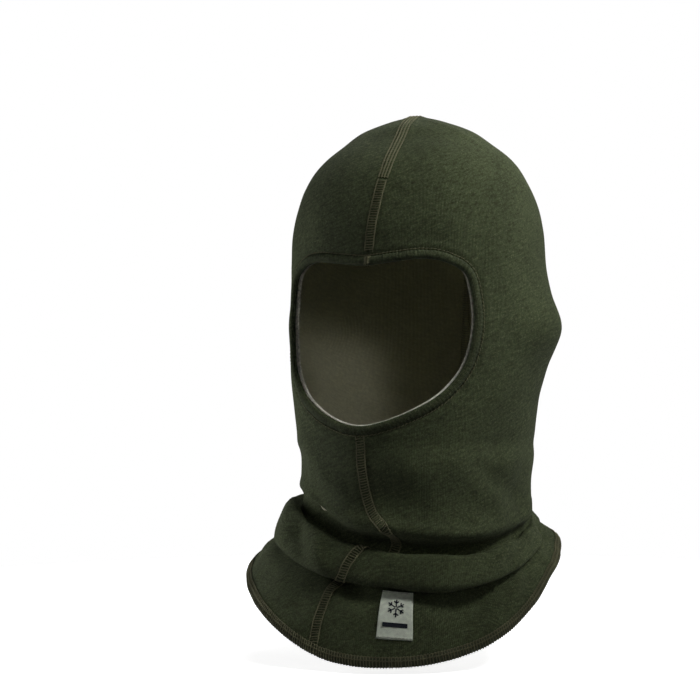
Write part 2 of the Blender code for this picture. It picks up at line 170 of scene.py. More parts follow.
def ring_tables():
    """Radius and depth of every ring at every azimuth."""
    turn = np.radians(AZIMUTHS)
    radii, depths = [], []
    for depth, side, front, back, _ in HEAD_RINGS:
        reach = np.where(np.cos(turn) > 0, front, back)
        radius = 0 * turn
        if side:
            across = (np.abs(AZIMUTHS) - EAR_AZIMUTH) / EAR_SPREAD_AZIMUTH
            down = (depth - EAR_DEPTH) / EAR_SPREAD_DEPTH
            radius = 1 / np.hypot(np.sin(turn) / side, np.cos(turn) / reach)
            radius = radius + EAR_OUT * np.exp(-across ** 2 - down ** 2)
        radii.append(radius)
        depths.append(depth + 0 * turn)
    column = (AZIMUTHS + 180) / NECK_STEP
    for _, ring_radii, ring_depths in NECK_RINGS:
        radii.append(closed_curve(ring_radii, column))
        depths.append(closed_curve(ring_depths, column))
    return np.array(radii), np.array(depths)


def surface_tables():
    """Points of the outer face over PLACES and AZIMUTHS."""
    radii, depths = ring_tables()
    radius = smooth_steps(radii, PLACES)
    depth = smooth_steps(depths, PLACES)
    turn = np.radians(AZIMUTHS)[None, :]
    return np.stack([radius * np.sin(turn), -radius * np.cos(turn), CROWN - depth], axis=-1) + AXIS


NORMAL_REACH = 5                                  # rows above and below that a normal is taken over


def normals_of(points):
    """Outward normals of a table of points that closes round in azimuth."""
    ends = np.concatenate([points[:1].repeat(NORMAL_REACH, axis=0), points,
                           points[-1:].repeat(NORMAL_REACH, axis=0)])
    down = ends[2 * NORMAL_REACH:] - ends[:-2 * NORMAL_REACH]
    wrapped = np.concatenate([points[:, -2:-1], points, points[:, 1:2]], axis=1)
    along = (wrapped[:, 2:] - wrapped[:, :-2]) / 2
    normal = np.cross(down, along)
    normal[0] = (0, 0, 1)
    length = np.linalg.norm(normal, axis=-1, keepdims=True)
    return normal / np.maximum(length, 1e-9)


def lengths_of(points):
    """Distance down the cloth from the crown."""
    steps = np.linalg.norm(np.diff(points, axis=0), axis=-1)
    return np.concatenate([np.zeros((1, points.shape[1])), np.cumsum(steps, axis=0)])


# Ridges (+) and hollows (-) of the loose cloth: height and half-width, then azimuth and place along each.
CREASES = (
    # under the left corner of the opening, and the hollow below it
    (2.4, 8.0, ((-36, 15.5), (-19, 16.6), (-4, 17.2))),
    (-1.5, 6.0, ((-38, 17.8), (-23, 18.4), (-8, 18.6))),
    # dent in the left of the roll
    (-4.2, 6.5, ((-37, 22.4), (-32, 22.8), (-26, 23.4))),
    (2.4, 5.5, ((-21, 22.3), (-16, 23.0), (-11, 23.8))),
    (2.0, 6.0, ((-56, 21.8), (-48, 22.4), (-42, 23.2))),
    # pocket and small pleat beside the label
    (-5.0, 7.0, ((-9, 25.3), (-1, 25.6), (6, 25.8))),
    (2.0, 5.0, ((-2, 24.8), (6, 25.0), (13, 25.2))),
    # pleats that climb to the right
    (1.8, 8.0, ((53, 23.4), (61, 22.8), (68, 22.2), (74, 20.5), (78, 18.5))),
    (-1.6, 6.0, ((60, 23.6), (70, 22.9), (78, 22.2))),
    (1.0, 7.0, ((84, 22.6), (90, 20.6), (94, 18.6))),
    (-6.5, 8.5, ((32, 26.1), (44, 25.9), (57, 25.7))),
    (-3.5, 9.0, ((26, 27.0), (38, 26.7), (50, 26.4))),
    (2.0, 6.0, ((62, 26.8), (68, 26.1), (73, 25.5))),
    # slack under the jaw and the soft edge below it
    (-2.6, 9.0, ((50, 16.0), (67, 16.6), (84, 17.6))),
    (-2.6, 7.0, ((38, 17.0), (52, 17.3), (66, 17.6))),
    (-2.6, 6.5, ((56, 18.9), (68, 18.8), (80, 18.9))),
    (1.6, 7.0, ((33, 17.0), (53, 17.2), (74, 17.0))),
    (-1.4, 6.0, ((20, 17.4), (40, 17.9), (62, 17.8))),
    # slack at the nape
    (3.4, 10.0, ((140, 13.0), (157, 11.4), (172, 10.6))),
    (-3.2, 10.0, ((146, 11.6), (162, 10.0), (174, 9.2))),
    (2.2, 9.0, ((-165, 14.0), (-150, 13.0), (-130, 12.8))),
    (2.0, 8.0, ((-150, 16.0), (-170, 15.4), (-178, 15.2))),
    # pull to the right of the crown
    (0.9, 5.0, ((30, 2.0), (60, 3.2), (75, 4.6))),
)
CREASE_STEPS = 40
CREASE_REACH = (16.0, 2.6)                        # azimuth and places past a crease that it can move


def crease_field(lengths):
    """Height of the creases over the surface tables."""
    field = np.zeros(lengths.shape)
    for height, width, path in CREASES:
        line = smooth_steps(np.array(path, float), np.linspace(0, len(path) - 1, CREASE_STEPS))
        fade = np.sqrt(np.sin(np.pi * (np.arange(CREASE_STEPS) + 0.5) / CREASE_STEPS))
        low, high = line.min(axis=0) - CREASE_REACH, line.max(axis=0) + CREASE_REACH
        columns = slice(*np.searchsorted(AZIMUTHS, (low[0], high[0])))
        rows = slice(*np.searchsorted(PLACES, (low[1], high[1])))
        block = np.zeros(field[rows, columns].shape)
        for (azimuth, place), share in zip(line, fade):
            along = (AZIMUTHS[columns] - azimuth) * math.radians(1) * FACE_RADIUS
            down = lengths[rows, columns] - lengths[np.searchsorted(PLACES, place), columns]
            block = np.maximum(block, share * np.exp(-(along ** 2 + down ** 2) / width ** 2))
        field[rows, columns] += height * block
    return field


# Unevenness of the loose cloth: the number of waves, the wavelength and height of the long and the short
# ones, and how much of them each place gets.
RIPPLE_WAVES = 24
LONG_RIPPLE = (42.0, 0.8)
SHORT_RIPPLE = (17.0, 0.22)
RIPPLE_PLACES = (0, 3, 14, 17, LAST_RING)
RIPPLE_SHARES = (0.05, 0.2, 0.3, 0.7, 0.9)


def ripples(points, wavelength, height):
    """Gentle unevenness of loose cloth, from waves in random directions."""
    waves = rng.normal(size=(RIPPLE_WAVES, 3))
    waves *= 2 * np.pi / wavelength / np.linalg.norm(waves, axis=1, keepdims=True)
    total = sum(np.sin(points @ wave + rng.uniform(0, 6)) for wave in waves)
    return total * height * math.sqrt(2 / RIPPLE_WAVES)


POINTS = surface_tables()
LENGTHS = lengths_of(POINTS)
slack = np.interp(PLACES, RIPPLE_PLACES, RIPPLE_SHARES)[:, None]
bumps = crease_field(LENGTHS) + slack * (ripples(POINTS, *LONG_RIPPLE) + ripples(POINTS, *SHORT_RIPPLE))
POINTS = POINTS + normals_of(POINTS) * bumps[..., None]
NORMALS = normals_of(POINTS)
LENGTHS = lengths_of(POINTS)


def sample(table, azimuth, place):
    """Values of a table at any azimuths and places."""
    j = (np.asarray(azimuth, float) + 180) % 360 * COLUMNS_PER_DEGREE
    i = np.clip(np.asarray(place, float), 0, LAST_RING) * ROWS_PER_PLACE
    i, j = np.broadcast_arrays(i, j)
    i0 = np.clip(np.floor(i).astype(int), 0, len(PLACES) - 2)
    j0 = np.clip(np.floor(j).astype(int), 0, len(AZIMUTHS) - 2)
    fi, fj = i - i0, j - j0
    if table.ndim > 2:
        fi, fj = fi[..., None], fj[..., None]
    top = table[i0, j0] * (1 - fj) + table[i0, j0 + 1] * fj
    low = table[i0 + 1, j0] * (1 - fj) + table[i0 + 1, j0 + 1] * fj
    return top * (1 - fi) + low * fi


def skin(azimuth, place, offset=0.0):
    """Points at an offset outside (positive) or inside (negative) the outer face."""
    offset = np.asarray(offset, float)[..., None]
    return sample(POINTS, azimuth, place) + offset * sample(NORMALS, azimuth, place)


# The lining behind the rolled fold: the places where it leaves the outer cloth and joins it again, its drop
# below the pocket, and the shares of its depth that it is drawn in and lowered by.
POCKET_RING = HEAD_COUNT + 5
LINING_LEAVES = POCKET_RING - 0.5
LINING_JOINS = GROOVE_RING + 0.6
LINING_DROP = 5
LINING_DRAWN_IN = 0.6
LINING_LOWERED = 0.3
LINING_SLACK = 1.2                                # how much further in the lining hangs in the neck
SLACK_PLACES = (HEAD_COUNT - 0.5, HEAD_COUNT + 1.0, GROOVE_RING + 1.5, GROOVE_RING + 2.6)


def lining_skin(azimuth, place, offset):
    """Points of the lining, which hangs straight past the rolled fold instead of filling it."""
    azimuth, place = np.broadcast_arrays(np.asarray(azimuth, float), np.asarray(place, float))
    turn = np.radians(azimuth)
    offset = offset - LINING_SLACK * np.interp(place, SLACK_PLACES, (0, 1, 1, 0))
    inward = -offset[..., None]
    outward = np.stack([np.sin(turn), -np.cos(turn), 0 * turn], axis=-1)
    below = np.array([0.0, 0.0, -1.0])
    start, end = (skin(azimuth, at + 0 * place, offset) for at in (LINING_LEAVES, LINING_JOINS))
    pocket = sample(POINTS, azimuth, POCKET_RING + 0 * place)
    groove = sample(POINTS, azimuth, GROOVE_RING + 0 * place)
    corner = pocket - LINING_DRAWN_IN * inward * outward + (LINING_DROP + inward) * below
    waist = groove - inward * outward + LINING_LOWERED * inward * below
    s = np.clip((place - LINING_LEAVES) / (GROOVE_RING - LINING_LEAVES), 0, 1)[..., None]
    t = np.clip((place - GROOVE_RING) / (LINING_JOINS - GROOVE_RING), 0, 1)[..., None]
    curve = (1 - s) ** 2 * start + 2 * s * (1 - s) * corner + s ** 2 * (waist * (1 - t) + end * t)
    hung = ((place > LINING_LEAVES) & (place < LINING_JOINS))[..., None]
    return np.where(hung, curve, skin(azimuth, place, offset))


SEAM_AZIMUTHS = np.array([r[-1] for r in HEAD_RINGS] + [r[0] for r in NECK_RINGS], float)
HEAD_PLACES = np.linspace(0, HEAD_COUNT - 1, 40 * HEAD_COUNT)
HEAD_DEPTHS = smooth_steps(np.array([r[0] for r in HEAD_RINGS]), HEAD_PLACES)


def seam_azimuth(place):
    """Azimuth of the front centre seam."""
    flat = np.atleast_1d(np.asarray(place, float)).ravel()
    return smooth_steps(SEAM_AZIMUTHS, flat).reshape(np.shape(place))


def twisted(azimuth, place):
    """Azimuth of a panel's column, carried round with the front seam and still at the back."""
    return azimuth + seam_azimuth(place) * (1 + np.cos(np.radians(azimuth))) / 2


def place_of(depth):
    """Place of a depth on the head."""
    return np.interp(depth, HEAD_DEPTHS, HEAD_PLACES)


def depth_of(place):
    """Depth of a place on the head."""
    return np.interp(place, HEAD_PLACES, HEAD_DEPTHS)


# --- meshes ---
def new_object(name, points, faces, uv, materials):
    """Smooth mesh object from points in millimetres, with one UV in metres per point."""
    mesh = bpy.data.meshes.new(name)
    mesh.from_pydata((np.asarray(points) * MM).tolist(), [], [tuple(f) for f in faces])
    layer = mesh.uv_layers.new(name="cloth")
    index = np.empty(len(mesh.loops), np.int32)
    mesh.loops.foreach_get("vertex_index", index)
    layer.data.foreach_set("uv", np.asarray(uv, np.float32)[index].ravel())
    for material in materials:
        mesh.materials.append(material)
    mesh.polygons.foreach_set("use_smooth", [True] * len(mesh.polygons))
    mesh.update()
    obj = bpy.data.objects.new(name, mesh)
    bpy.context.scene.collection.objects.link(obj)
    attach(obj, "root")
    return obj


def drop_loose(obj):
    """Removes points that no face uses and makes every face look outward."""
    bm = bmesh.new()
    bm.from_mesh(obj.data)
    bmesh.ops.delete(bm, geom=[v for v in bm.verts if not v.link_faces], context="VERTS")
    bmesh.ops.recalc_face_normals(bm, faces=bm.faces)
    if bm.calc_volume(signed=True) < 0:
        bmesh.ops.reverse_faces(bm, faces=bm.faces)
    bm.to_mesh(obj.data)
    bm.free()


def thick_faces(faces, count):
    """Faces of a closed body between two matching sheets of count points each."""
    faces = [tuple(int(i) for i in f) for f in faces]
    uses = set()
    for face in faces:
        uses.update(zip(face, face[1:] + face[:1]))
    rim = [(b, a, a + count, b + count) for a, b in uses if (b, a) not in uses]
    under = [tuple(i + count for i in reversed(face)) for face in faces]
    return faces + under + sorted(rim)


def grid_faces(rows, columns, start=0, closed=False):
    """Quads of a grid of points stored row by row."""
    faces = []
    for i in range(rows - 1):
        for j in range(columns if closed else columns - 1):
            k = (j + 1) % columns
            a, b = start + i * columns, start + (i + 1) * columns
            faces.append((a + j, b + j, b + k, a + k))
    return faces


def swept(name, sections, materials, closed=False):
    """Body through matching closed sections, with UVs along and round it in metres."""
    sections = np.asarray(sections)
    count, size = sections.shape[:2]
    faces = grid_faces(count, size, closed=True)
    if closed:
        last = (count - 1) * size
        faces += [(last + j, j, (j + 1) % size, last + (j + 1) % size) for j in range(size)]
    else:
        faces.append(tuple(range(size)))
        faces.append(tuple(reversed(range((count - 1) * size, count * size))))
    middle = sections.mean(axis=1)
    along = np.concatenate([[0], np.cumsum(np.linalg.norm(np.diff(middle, axis=0), axis=1))])
    ring = np.linalg.norm(np.diff(sections[0], axis=0), axis=1)
    across = np.concatenate([[0], np.cumsum(ring)])
    uv = np.stack(np.meshgrid(across, along), axis=-1).reshape(-1, 2) * MM
    obj = new_object(name, sections.reshape(-1, 3), faces, uv, materials)
    drop_loose(obj)
    return obj


THREAD_SIDES = 6


def strands(name, paths, radius, materials):
    """One mesh of round threads along many open paths."""
    points, faces, uv = [], [], []
    start = 0
    turn = np.linspace(0, 2 * np.pi, THREAD_SIDES, endpoint=False)
    for path in paths:
        path = np.asarray(path, float)
        along = np.gradient(path, axis=0)
        along /= np.maximum(np.linalg.norm(along, axis=1, keepdims=True), 1e-9)
        side = np.empty_like(path)
        least = np.eye(3)[np.argmin(np.abs(along[0]))]
        side[0] = np.cross(along[0], least)
        for i in range(1, len(path)):
            side[i] = side[i - 1] - along[i] * np.dot(side[i - 1], along[i])
            side[i] /= max(np.linalg.norm(side[i]), 1e-9)
        side[0] /= np.linalg.norm(side[0])
        up = np.cross(along, side)
        ring = np.cos(turn)[None, :, None] * side[:, None] + np.sin(turn)[None, :, None] * up[:, None]
        points.append((path[:, None] + radius * ring).reshape(-1, 3))
        faces += grid_faces(len(path), THREAD_SIDES, start, closed=True)
        last = start + (len(path) - 1) * THREAD_SIDES
        faces.append(tuple(range(start, start + THREAD_SIDES)))
        faces.append(tuple(reversed(range(last, last + THREAD_SIDES))))
        lengths = np.concatenate([[0], np.cumsum(np.linalg.norm(np.diff(path, axis=0), axis=1))])
        uv.append(np.stack(np.meshgrid(turn * radius, lengths), axis=-1).reshape(-1, 2) * MM)
        start += len(path) * THREAD_SIDES
    obj = new_object(name, np.concatenate(points), faces, np.concatenate(uv), materials)
    drop_loose(obj)
    return obj


# --- materials ---
CLOTH_SPECULAR = 0.12
SHEEN_ROUGHNESS = 0.45
THREAD_SHEEN = 0.05
THREAD_RELIEF = 0.12
TAPE_RELIEF = 0.1


class Shader:
    """A cloth or thread material, built node by node."""

    def __init__(self, name, roughness, sheen, sheen_tint):
        self.material = bpy.data.materials.new(name)
        self.material.use_nodes = True
        self.tree = self.material.node_tree
        self.surface = self.tree.nodes["Principled BSDF"]
        self.surface.inputs["Roughness"].default_value = roughness
        self.surface.inputs["Specular IOR Level"].default_value = CLOTH_SPECULAR
        self.surface.inputs["Sheen Weight"].default_value = sheen
        self.surface.inputs["Sheen Roughness"].default_value = SHEEN_ROUGHNESS
        self.surface.inputs["Sheen Tint"].default_value = (*sheen_tint, 1.0)
        self.uv = self.node("ShaderNodeUVMap", uv_map="cloth").outputs[0]
        self.place = self.node("ShaderNodeTexCoord").outputs["Object"]
        self.across, self.along = self.node("ShaderNodeSeparateXYZ", {0: self.uv}).outputs[:2]

    def node(self, kind, inputs=(), **settings):
        """New node, with its inputs linked or set."""
        node = self.tree.nodes.new(kind)
        for key, value in settings.items():
            setattr(node, key, value)
        for key, value in dict(inputs).items():
            if isinstance(value, bpy.types.NodeSocket):
                self.tree.links.new(value, node.inputs[key])
            else:
                node.inputs[key].default_value = value
        return node

    def math(self, operation, a, b=0.0):
        return self.node("ShaderNodeMath", {0: a, 1: b}, operation=operation).outputs[0]

    def noise(self, vector, scale, detail=3.0):
        settings = {"Vector": vector, "Scale": scale, "Detail": detail}
        return self.node("ShaderNodeTexNoise", settings).outputs[0]

    def ramp(self, value, low, high, from_low=0.0, from_high=1.0):
        """Value carried from one range to another and kept inside it."""
        settings = {"Value": value, "To Min": low, "To Max": high}
        settings.update({"From Min": from_low, "From Max": from_high})
        return self.node("ShaderNodeMapRange", settings).outputs[0]

    def finish(self, colour, brightness, height, depth_m):
        """Colour times brightness on the surface, and height as relief."""
        scaled = self.node("ShaderNodeVectorMath", {0: colour, 3: brightness}, operation="SCALE").outputs[0]
        self.tree.links.new(scaled, self.surface.inputs["Base Color"])
        bump = self.node("ShaderNodeBump", {"Height": height, "Distance": depth_m, "Strength": 1.0})
        self.tree.links.new(bump.outputs[0], self.surface.inputs["Normal"])
        return self.material


def knit(name, colour, fleck, wale_mm, course_mm, relief_mm, sheen, heather=1.0):
    """Jersey knit: wales of slanted stitches, painted shade in the hollows between them, fibre fuzz,
    heathered yarn and worn patches.
    """
    shader = Shader(name, 0.92, sheen, (0.75, 0.78, 0.68))
    place = shader.place
    wander = shader.math("MULTIPLY", shader.math("SUBTRACT", shader.noise(place, 90.0), 0.5), 0.8)
    wale = shader.math("ADD", shader.math("DIVIDE", shader.across, wale_mm * MM), wander)
    course = shader.math("ADD", shader.math("DIVIDE", shader.along, course_mm * MM), wander)
    ridge = shader.math("ABSOLUTE", shader.math("SINE", shader.math("MULTIPLY", wale, math.pi)))
    leg = shader.math("PINGPONG", wale, 0.5)
    slant = shader.math("MULTIPLY", shader.math("ADD", course, leg), 2 * math.pi)
    loop = shader.ramp(shader.math("SINE", slant), 0.0, 1.0, -1.0, 1.0)
    stitch = shader.math("MULTIPLY", ridge, shader.ramp(loop, 0.55, 1.0))
    fuzz = shader.noise(place, 2600.0, 2.0)
    height = shader.math("ADD", stitch, shader.math("MULTIPLY", fuzz, 0.7))
    worn = shader.ramp(shader.noise(place, 24.0, 4.0), 0.84, 1.16, 0.3, 0.7)
    leaning = shader.node("ShaderNodeMapping", {"Vector": shader.uv, "Rotation": (0, 0, 0.3)}).outputs[0]
    spacing = {0: leaning, 1: (130.0, 760.0, 1.0)}
    stretched = shader.node("ShaderNodeVectorMath", spacing, operation="MULTIPLY").outputs[0]
    streak = shader.ramp(shader.noise(stretched, 1.0, 3.0), 0.72, 1.28, 0.3, 0.7)
    mottle = shader.ramp(shader.noise(place, 520.0, 3.0), 0.68, 1.32, 0.28, 0.72)
    worn = shader.math("MULTIPLY", worn, mottle)
    # painted shade: the colour is darker in the hollows between the stitches and lighter on their tops,
    # following the stitch relief
    shade = shader.math("MULTIPLY", worn, shader.ramp(stitch, 0.9, 1.05))
    shade = shader.math("MULTIPLY", shade, streak)
    shade = shader.math("MULTIPLY", shade, shader.ramp(fuzz, 0.78, 1.22, 0.25, 0.75))
    shade = shader.math("ADD", shader.math("MULTIPLY", shade, heather), 1 - heather)
    flecks = shader.ramp(shader.noise(place, 1500.0, 1.0), 0.0, 1.0, 0.52, 0.72)
    mixed = shader.node("ShaderNodeMix", {0: flecks, 6: (*colour, 1.0), 7: (*fleck, 1.0)}, data_type="RGBA")
    return shader.finish(mixed.outputs[2], shade, height, relief_mm * MM)


def thread(name, colour, pitch_mm):
    """Twisted sewing thread or ribbed tape, with a twist of the given pitch and painted shade in the grooves
    of the twist.
    """
    shader = Shader(name, 0.78, THREAD_SHEEN, (0.8, 0.8, 0.72))
    turns = shader.math("DIVIDE", shader.math("ADD", shader.across, shader.along), pitch_mm * MM)
    twist = shader.ramp(shader.math("SINE", shader.math("MULTIPLY", turns, 2 * math.pi)), 0.0, 1.0, -1.0, 1.0)
    fuzz = shader.noise(shader.place, 2200.0, 2.0)
    worn = shader.ramp(shader.noise(shader.place, 60.0), 0.85, 1.15, 0.3, 0.7)
    # painted shade: the thread is darker in the grooves of its twist and lighter on its ridges
    shade = shader.math("MULTIPLY", worn, shader.ramp(twist, 0.72, 1.12))
    height = shader.math("ADD", twist, shader.math("MULTIPLY", fuzz, 0.6))
    return shader.finish(colour, shade, height, THREAD_RELIEF * MM)


def woven(name, colour, pitch_mm):
    """Plain-woven tape: warp over weft, with slubs and painted shade where the threads dip under each other.
    """
    shader = Shader(name, 0.7, 0.15, (0.9, 0.9, 0.85))
    per_metre = 2 * math.pi / (pitch_mm * MM)
    across = shader.math("SINE", shader.math("MULTIPLY", shader.across, per_metre))
    down = shader.math("SINE", shader.math("MULTIPLY", shader.along, per_metre))
    cloth = shader.ramp(shader.math("MULTIPLY", across, down), 0.0, 1.0, -1.0, 1.0)
    slub = shader.ramp(shader.noise(shader.place, 350.0), 0.88, 1.1, 0.3, 0.7)
    # painted shade: the tape is darker where the weave's relief is low and lighter where it is high
    shade = shader.math("MULTIPLY", slub, shader.ramp(cloth, 0.8, 1.08))
    return shader.finish(colour, shade, cloth, TAPE_RELIEF * MM)


GREEN = knit("dark_green_jersey", (0.043, 0.054, 0.024), (0.083, 0.094, 0.050), 1.05, 0.9, 0.2, 0.015)
CREAM = knit("cream_jersey", (0.52, 0.51, 0.36), (0.56, 0.55, 0.40), 1.05, 0.9, 0.15, 0.03, 0.3)
GREEN_TAPE = knit("dark_green_rib_tape", (0.040, 0.050, 0.023), (0.080, 0.088, 0.048), 1.0, 1.0, 0.3, 0.015)
CREAM_TAPE = knit("cream_rib_tape", (0.66, 0.64, 0.54), (0.75, 0.72, 0.62), 1.0, 1.0, 0.3, 0.1)
OLIVE_THREAD = thread("olive_thread", (0.155, 0.152, 0.085), 0.9)
DARK_THREAD = thread("dark_olive_thread", (0.072, 0.076, 0.043), 0.9)
CREAM_THREAD = thread("cream_thread", (0.42, 0.40, 0.29), 0.9)
LABEL_CLOTH = woven("label_tape", (0.78, 0.84, 0.70), 0.55)
LABEL_THREAD = thread("label_thread", (0.66, 0.67, 0.6), 0.7)
MARK_THREAD = thread("dark_mark_thread", (0.02, 0.024, 0.035), 0.7)

# --- the four halves of cloth ---
DEGREE = math.radians(1) * FACE_RADIUS            # width of one degree round the face, in millimetres
OPENING_CENTRE = (0.0, 166.0)
PANEL_TOP = 1.5
HEM_CLEAR = 0.6
SEAM_CLEAR = 0.2
FAR = 99.0                                        # distance past the opening where there is none
# Swelling beside a sewn edge: height, then how far out and how wide its ridge and its dip are.
EDGE_PUFF = 0.8
EDGE_RIDGE = (9.8, 2.8)
EDGE_DIP = (6.8, 1.1)
SEAM_PUFF = 0.4
SEAM_RIDGE = (6.5, 2.4)
PUCKER = 7.0                                      # length of one pucker along a seam


def outline(count):
    """Finished edge of the opening and its outward directions, in flat millimetres."""
    half = [(a * DEGREE, d) for a, d in OPENING_HALF]
    loop = np.array(half + [(-a, d) for a, d in reversed(half[1:-1])])
    fine = np.stack([closed_curve(loop[:, i], np.linspace(0, len(loop), 4000)) for i in (0, 1)], axis=1)
    length = np.concatenate([[0], np.cumsum(np.linalg.norm(np.diff(fine, axis=0), axis=1))])
    steps = np.linspace(0, length[-1], count, endpoint=False)
    points = np.stack([np.interp(steps, length, fine[:, i]) for i in (0, 1)], axis=1)
    along = np.roll(points, -1, axis=0) - np.roll(points, 1, axis=0)
    along /= np.linalg.norm(along, axis=1, keepdims=True)
    return points, np.stack([along[:, 1], -along[:, 0]], axis=1), length[-1]


def on_face(flat, offset):
    """Points over the face from flat millimetres."""
    return skin(flat[..., 0] / DEGREE, place_of(flat[..., 1]), offset)


def polar(flat):
    """Direction and distance from the middle of the opening."""
    across, down = flat[..., 0] - OPENING_CENTRE[0], flat[..., 1] - OPENING_CENTRE[1]
    return np.arctan2(down, across), np.hypot(across, down)


def cut_line():
    """The cloth's cut edge round the opening, as distance over direction."""
    points, out, _ = outline(800)
    direction, distance = polar(points + out * CUT_BACK)
    order = np.argsort(direction)
    turns = np.concatenate([direction[order] - 2 * np.pi, direction[order], direction[order] + 2 * np.pi])
    return turns, np.tile(distance[order], 3)


CUT_TURNS, CUT_DISTANCES = cut_line()


def swell(distance, middle, width):
    """Height from 0 to 1 of a rounded ridge at a distance."""
    return np.exp(-((distance - middle) / width) ** 2)


def panel(name, node, side, outer, inner, step, material):
    """One half of one layer, from the crown to the hem, with its part of the opening cut away."""
    down = LENGTHS.mean(axis=1)
    rows = int((down[-1] - PANEL_TOP) / step)
    columns = int(180 * DEGREE / step)
    places = np.interp(np.linspace(PANEL_TOP, down[-1] - HEM_CLEAR, rows), down, PLACES)[:, None]
    share = np.linspace(0, 1, columns)[None, :]
    radius = np.hypot(*np.moveaxis(sample(POINTS, side * 90.0, places), -1, 0)[:2])
    clear = np.degrees(SEAM_CLEAR / radius)
    azimuth = twisted(side * (clear + (180 - 2 * clear) * share), places)
    place = np.broadcast_to(places, azimuth.shape).copy()
    flat = np.stack([azimuth * DEGREE, depth_of(place)], axis=-1)
    direction, distance = polar(flat)
    on_head = place < HEAD_COUNT - 1
    hole = np.where(on_head & (np.abs(azimuth) < 90), np.interp(direction, CUT_TURNS, CUT_DISTANCES), 0)
    faces = np.array(grid_faces(rows, columns))
    centre_direction, centre_distance = polar(flat.reshape(-1, 2)[faces].mean(axis=1))
    cut = (centre_distance < np.interp(centre_direction, CUT_TURNS, CUT_DISTANCES))
    cut &= (hole.ravel()[faces] > 0).all(axis=1)
    rim = np.zeros(rows * columns, bool)
    rim[np.intersect1d(faces[cut], faces[~cut])] = True
    rim = rim.reshape(rows, columns)
    flat[rim, 0] = OPENING_CENTRE[0] + hole[rim] * np.cos(direction[rim])
    flat[rim, 1] = OPENING_CENTRE[1] + hole[rim] * np.sin(direction[rim])
    azimuth[rim] = flat[rim, 0] / DEGREE
    place[rim] = place_of(flat[rim, 1])
    beyond = np.where(hole > 0, distance - hole + CUT_BACK, FAR)
    beside = (clear + (180 - 2 * clear) * share) * np.radians(1) * radius
    down_cloth = sample(LENGTHS, azimuth, place)
    lay, rise = lining_skin, 0.0
    if outer >= 0:
        pucker = 1 + 0.5 * np.sin(down_cloth * 2 * np.pi / PUCKER)
        rise = EDGE_PUFF * (swell(beyond, *EDGE_RIDGE) - swell(beyond, *EDGE_DIP))
        rise += SEAM_PUFF * pucker * swell(beside, *SEAM_RIDGE) * (beyond > BINDING_WIDTH)
        lay = skin
    sheets = [lay(azimuth, place, offset).reshape(-1, 3) for offset in (outer + rise, inner)]
    uv = np.stack([azimuth * DEGREE, down_cloth], axis=-1).reshape(-1, 2) * MM
    body = thick_faces(faces[~cut], rows * columns)
    obj = new_object(name, np.concatenate(sheets), body, np.tile(uv, (2, 1)), [material])
    drop_loose(obj)
    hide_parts(node)
    return obj


# --- bindings round the opening ---
FACE_PROFILE = ((0.0, -1.3), (-0.35, -0.3), (-0.3, 0.8), (0.5, 1.8), (1.9, 2.35), (3.4, 2.35), (4.8, 1.9),
                (5.7, 1.15), (6.0, 0.45), (5.2, 0.3), (1.2, 0.3), (1.2, -1.3))
LINING_PROFILE = ((-0.7, -1.75), (0.3, -1.65), (1.2, -1.7), (1.2, -3.5), (5.2, -3.5), (5.6, -3.9),
                  (5.2, -4.4), (3.0, -4.75), (0.9, -4.6), (-0.5, -4.1), (-1.0, -2.9))
BINDING_SECTIONS = 660
BROW_END = 128.0
BROW_FADE = 12.0
STITCH_PITCH = 2.5
TAPE_WAVES = 17                                   # slow waves of the tape round the opening
TAPE_WAVE = 0.12
DENT_DEPTH = 0.35
DENT_REACH = 0.25
RING_STEPS = 2400


def binding(name, nodes, profile, material, dent, drawn_back=0.0):
    """Folded tape round the opening, pulled in at every stitch and drawn back at the brow."""
    points, out, length = outline(BINDING_SECTIONS)
    stitches = round(length / STITCH_PITCH)
    wave = np.cos(np.linspace(0, 2 * np.pi * stitches, BINDING_SECTIONS, endpoint=False))
    slow = np.cos(np.linspace(0, 2 * np.pi * TAPE_WAVES, BINDING_SECTIONS, endpoint=False) + 1.0)
    brow = np.clip((BROW_END - points[:, 1]) / BROW_FADE, 0, 1) * drawn_back
    sections = []
    for across, up in profile:
        edge = np.clip((across - 2.0) / 4.0, 0, 1) * dent
        pulled = np.sign(up) * edge * (wave - 1) * DENT_DEPTH * (abs(up) > 1)
        rise = pulled + TAPE_WAVE * slow * (across > 1.3)
        reach = across - edge * (1 - wave) * DENT_REACH + brow * (across < 1)
        sections.append(on_face(points + out * reach[:, None], up + rise))
    obj = swept(name, np.stack(sections, axis=1), [material], closed=True)
    for node in nodes:
        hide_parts(node)
    return obj


def ring_stitches(node, across, up, thick, material):
    """Running stitches beside a binding."""
    points, out, length = outline(RING_STEPS)
    count = round(length / STITCH_PITCH)
    paths = []
    for k in range(count):
        share = (k + np.linspace(-0.38, 0.38, 5)) / count * len(points)
        index = np.round(share).astype(int) % len(points)
        lift = up * np.array([0.2, 0.9, 1.1, 0.9, 0.2])
        sway = across + np.linspace(-0.2, 0.2, 5)
        paths.append(on_face(points[index] + out[index] * sway[:, None], lift))
    return seam_piece(node, paths, thick, material)


# --- sewn seams ---
SEAM_SAG = 2 * 90.0                               # twice the radius that a seam's width bends over
SEAM_TAPER = 16.0
SEAM_STEP = 0.5
BAND_STEP = 1.5
RUNG_SINK = 0.3
CHAIN_WEAVE = 0.18


